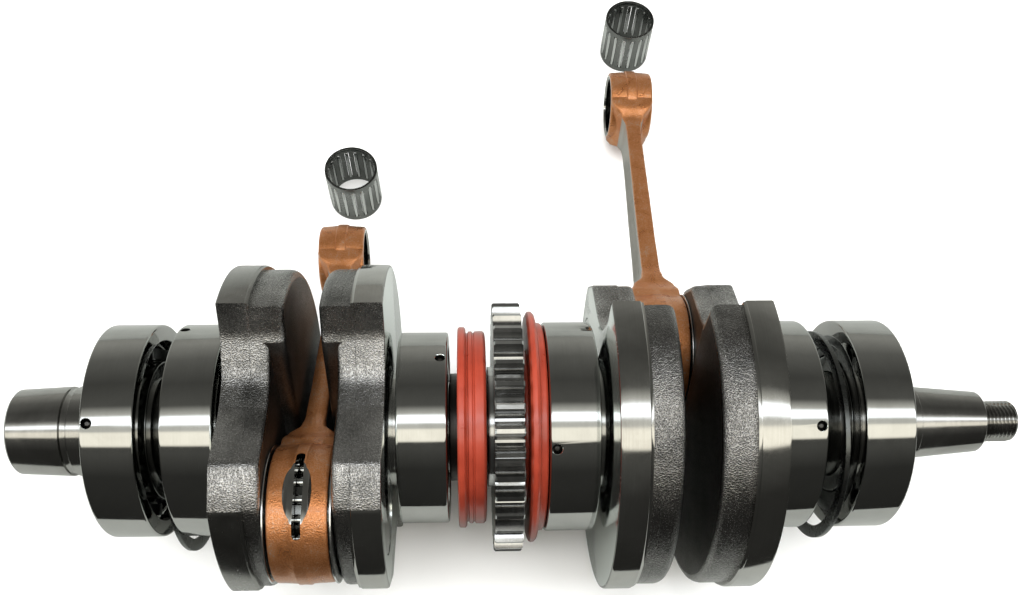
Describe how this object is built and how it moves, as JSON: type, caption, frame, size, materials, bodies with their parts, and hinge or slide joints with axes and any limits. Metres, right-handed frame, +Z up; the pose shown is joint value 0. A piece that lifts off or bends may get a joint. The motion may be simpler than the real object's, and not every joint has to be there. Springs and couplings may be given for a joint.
{
  "type": "crankshaft",
  "caption": "Built-up two-stroke crankshaft for a parallel twin, with connecting rods on needle rollers, ball main bearings, centre drive gear, centre seals and tapered ends.",
  "frame": {"origin": "centre of the magneto stud's end face, on the crank axis", "axes": "+X along the crank axis towards the magneto end, +Z up from the surface the crankshaft lies on, +Y the side the connecting rods point to"},
  "size_m": [0.381, 0.3111, 0.1238],
  "materials": {
    "machined_web_steel": "forged and turned steel, oiled",
    "ground_steel": "ground bright",
    "bearing_race": "ground and polished bearing steel",
    "bearing_balls": "polished balls in a pressed ribbon cage",
    "copper_plate": "copper-plated forged steel, satin",
    "needle_cage": "dark pressed steel with bright needles",
    "gear_steel": "hobbed and ground",
    "dark_steel": "phosphated",
    "seal_rubber": "red-orange moulded rubber, glossy with oil"
  },
  "bodies": {
    "crank": {"pto_half_shaft": "machined_web_steel", "mag_half_shaft": "machined_web_steel", "left_inner_web": "machined_web_steel", "right_inner_web": "machined_web_steel", "left_crankpin": "ground_steel", "right_crankpin": "ground_steel", "left_outer_thrust_washer": "ground_steel", "left_inner_thrust_washer": "ground_steel", "right_outer_thrust_washer": "ground_steel", "right_inner_thrust_washer": "ground_steel", "centre_gear": "gear_steel", "gear_key": "ground_steel", "seal_sleeve": "dark_steel", "pto_outer_bearing_inner_race": "bearing_race", "pto_inner_bearing_inner_race": "bearing_race", "centre_left_bearing_inner_race": "bearing_race", "centre_right_bearing_inner_race": "bearing_race", "mag_inner_bearing_inner_race": "bearing_race", "mag_outer_bearing_inner_race": "bearing_race"},
    "pto_outer_outer_race": {"pto_outer_bearing_outer_race": "bearing_race"},
    "pto_outer_cage": {"pto_outer_bearing_balls_and_cage": "bearing_balls"},
    "pto_inner_outer_race": {"pto_inner_bearing_outer_race": "bearing_race"},
    "pto_inner_cage": {"pto_inner_bearing_balls_and_cage": "bearing_balls"},
    "centre_left_outer_race": {"centre_left_bearing_outer_race": "bearing_race"},
    "centre_left_cage": {"centre_left_bearing_balls_and_cage": "bearing_balls"},
    "centre_right_outer_race": {"centre_right_bearing_outer_race": "bearing_race"},
    "centre_right_cage": {"centre_right_bearing_balls_and_cage": "bearing_balls"},
    "mag_inner_outer_race": {"mag_inner_bearing_outer_race": "bearing_race"},
    "mag_inner_cage": {"mag_inner_bearing_balls_and_cage": "bearing_balls"},
    "mag_outer_outer_race": {"mag_outer_bearing_outer_race": "bearing_race"},
    "mag_outer_cage": {"mag_outer_bearing_balls_and_cage": "bearing_balls"},
    "left_rod": {"left_conrod": "copper_plate"},
    "left_big_end_cage": {"left_big_end_needle_cage": "needle_cage"},
    "right_rod": {"right_conrod": "copper_plate"},
    "right_big_end_cage": {"right_big_end_needle_cage": "needle_cage"},
    "left_seal": {"left_centre_seal": "seal_rubber"},
    "right_seal": {"right_centre_seal": "seal_rubber"},
    "pto_ring": {"pto_retaining_ring": "dark_steel"},
    "mag_ring": {"mag_retaining_ring": "dark_steel"},
    "left_small_end_cage": {"left_small_end_needle_cage": "needle_cage"},
    "right_small_end_cage": {"right_small_end_needle_cage": "needle_cage"}
  },
  "joints": [
    {"name": "pto_outer_race_spin", "type": "hinge", "parent": "crank", "child": "pto_outer_outer_race", "pos_m": [-0.3356, 0, 0], "axis": [1, 0, 0], "continuous": true},
    {"name": "pto_outer_cage_spin", "type": "hinge", "parent": "crank", "child": "pto_outer_cage", "pos_m": [-0.3356, 0, 0], "axis": [1, 0, 0], "continuous": true},
    {"name": "pto_inner_race_spin", "type": "hinge", "parent": "crank", "child": "pto_inner_outer_race", "pos_m": [-0.3091, 0, 0], "axis": [1, 0, 0], "continuous": true},
    {"name": "pto_inner_cage_spin", "type": "hinge", "parent": "crank", "child": "pto_inner_cage", "pos_m": [-0.3091, 0, 0], "axis": [1, 0, 0], "continuous": true},
    {"name": "centre_left_race_spin", "type": "hinge", "parent": "crank", "child": "centre_left_outer_race", "pos_m": [-0.2291, 0, 0], "axis": [1, 0, 0], "continuous": true},
    {"name": "centre_left_cage_spin", "type": "hinge", "parent": "crank", "child": "centre_left_cage", "pos_m": [-0.2291, 0, 0], "axis": [1, 0, 0], "continuous": true},
    {"name": "centre_right_race_spin", "type": "hinge", "parent": "crank", "child": "centre_right_outer_race", "pos_m": [-0.1753, 0, 0], "axis": [1, 0, 0], "continuous": true},
    {"name": "centre_right_cage_spin", "type": "hinge", "parent": "crank", "child": "centre_right_cage", "pos_m": [-0.1753, 0, 0], "axis": [1, 0, 0], "continuous": true},
    {"name": "mag_inner_race_spin", "type": "hinge", "parent": "crank", "child": "mag_inner_outer_race", "pos_m": [-0.0955, 0, 0], "axis": [1, 0, 0], "continuous": true},
    {"name": "mag_inner_cage_spin", "type": "hinge", "parent": "crank", "child": "mag_inner_cage", "pos_m": [-0.0955, 0, 0], "axis": [1, 0, 0], "continuous": true},
    {"name": "mag_outer_race_spin", "type": "hinge", "parent": "crank", "child": "mag_outer_outer_race", "pos_m": [-0.0641, 0, 0], "axis": [1, 0, 0], "continuous": true},
    {"name": "mag_outer_cage_spin", "type": "hinge", "parent": "crank", "child": "mag_outer_cage", "pos_m": [-0.0641, 0, 0], "axis": [1, 0, 0], "continuous": true},
    {"name": "left_rod_swing", "type": "hinge", "parent": "crank", "child": "left_rod", "pos_m": [-0.2694, -0.03774, 0.01602], "axis": [1, 0, 0], "continuous": true},
    {"name": "left_big_end_cage_spin", "type": "hinge", "parent": "crank", "child": "left_big_end_cage", "pos_m": [-0.2694, -0.03774, 0.01602], "axis": [1, 0, 0], "continuous": true},
    {"name": "right_rod_swing", "type": "hinge", "parent": "crank", "child": "right_rod", "pos_m": [-0.135, 0.03774, -0.01602], "axis": [1, 0, 0], "continuous": true},
    {"name": "right_big_end_cage_spin", "type": "hinge", "parent": "crank", "child": "right_big_end_cage", "pos_m": [-0.135, 0.03774, -0.01602], "axis": [1, 0, 0], "continuous": true},
    {"name": "left_seal_spin", "type": "hinge", "parent": "crank", "child": "left_seal", "pos_m": [-0.2113, 0, 0], "axis": [1, 0, 0], "continuous": true},
    {"name": "right_seal_spin", "type": "hinge", "parent": "crank", "child": "right_seal", "pos_m": [-0.1886, 0, 0], "axis": [1, 0, 0], "continuous": true},
    {"name": "pto_ring_slide", "type": "slide", "parent": "crank", "child": "pto_ring", "axis": [1, 0, 0], "range_m": [-0.0058, 0.0002]},
    {"name": "mag_ring_slide", "type": "slide", "parent": "crank", "child": "mag_ring", "axis": [1, 0, 0], "range_m": [-0.0048, 0.0058]},
    {"name": "left_small_end_cage_lift", "type": "slide", "parent": "crank", "child": "left_small_end_cage", "axis": [0, 0, 1], "range_m": [0, 0.08]},
    {"name": "right_small_end_cage_lift", "type": "slide", "parent": "crank", "child": "right_small_end_cage", "axis": [0, 0, 1], "range_m": [0, 0.08]}
  ],
  "couplings": [
    {"joint": "pto_outer_cage_spin", "follows": "pto_outer_race_spin", "ratio": 0.5867},
    {"joint": "pto_inner_cage_spin", "follows": "pto_inner_race_spin", "ratio": 0.5867},
    {"joint": "centre_left_cage_spin", "follows": "centre_left_race_spin", "ratio": 0.5864},
    {"joint": "centre_right_cage_spin", "follows": "centre_right_race_spin", "ratio": 0.5867},
    {"joint": "mag_inner_cage_spin", "follows": "mag_inner_race_spin", "ratio": 0.5867},
    {"joint": "mag_outer_cage_spin", "follows": "mag_outer_race_spin", "ratio": 0.5867},
    {"joint": "left_big_end_cage_spin", "follows": "left_rod_swing", "ratio": 0.548},
    {"joint": "right_big_end_cage_spin", "follows": "right_rod_swing", "ratio": 0.548}
  ]
}
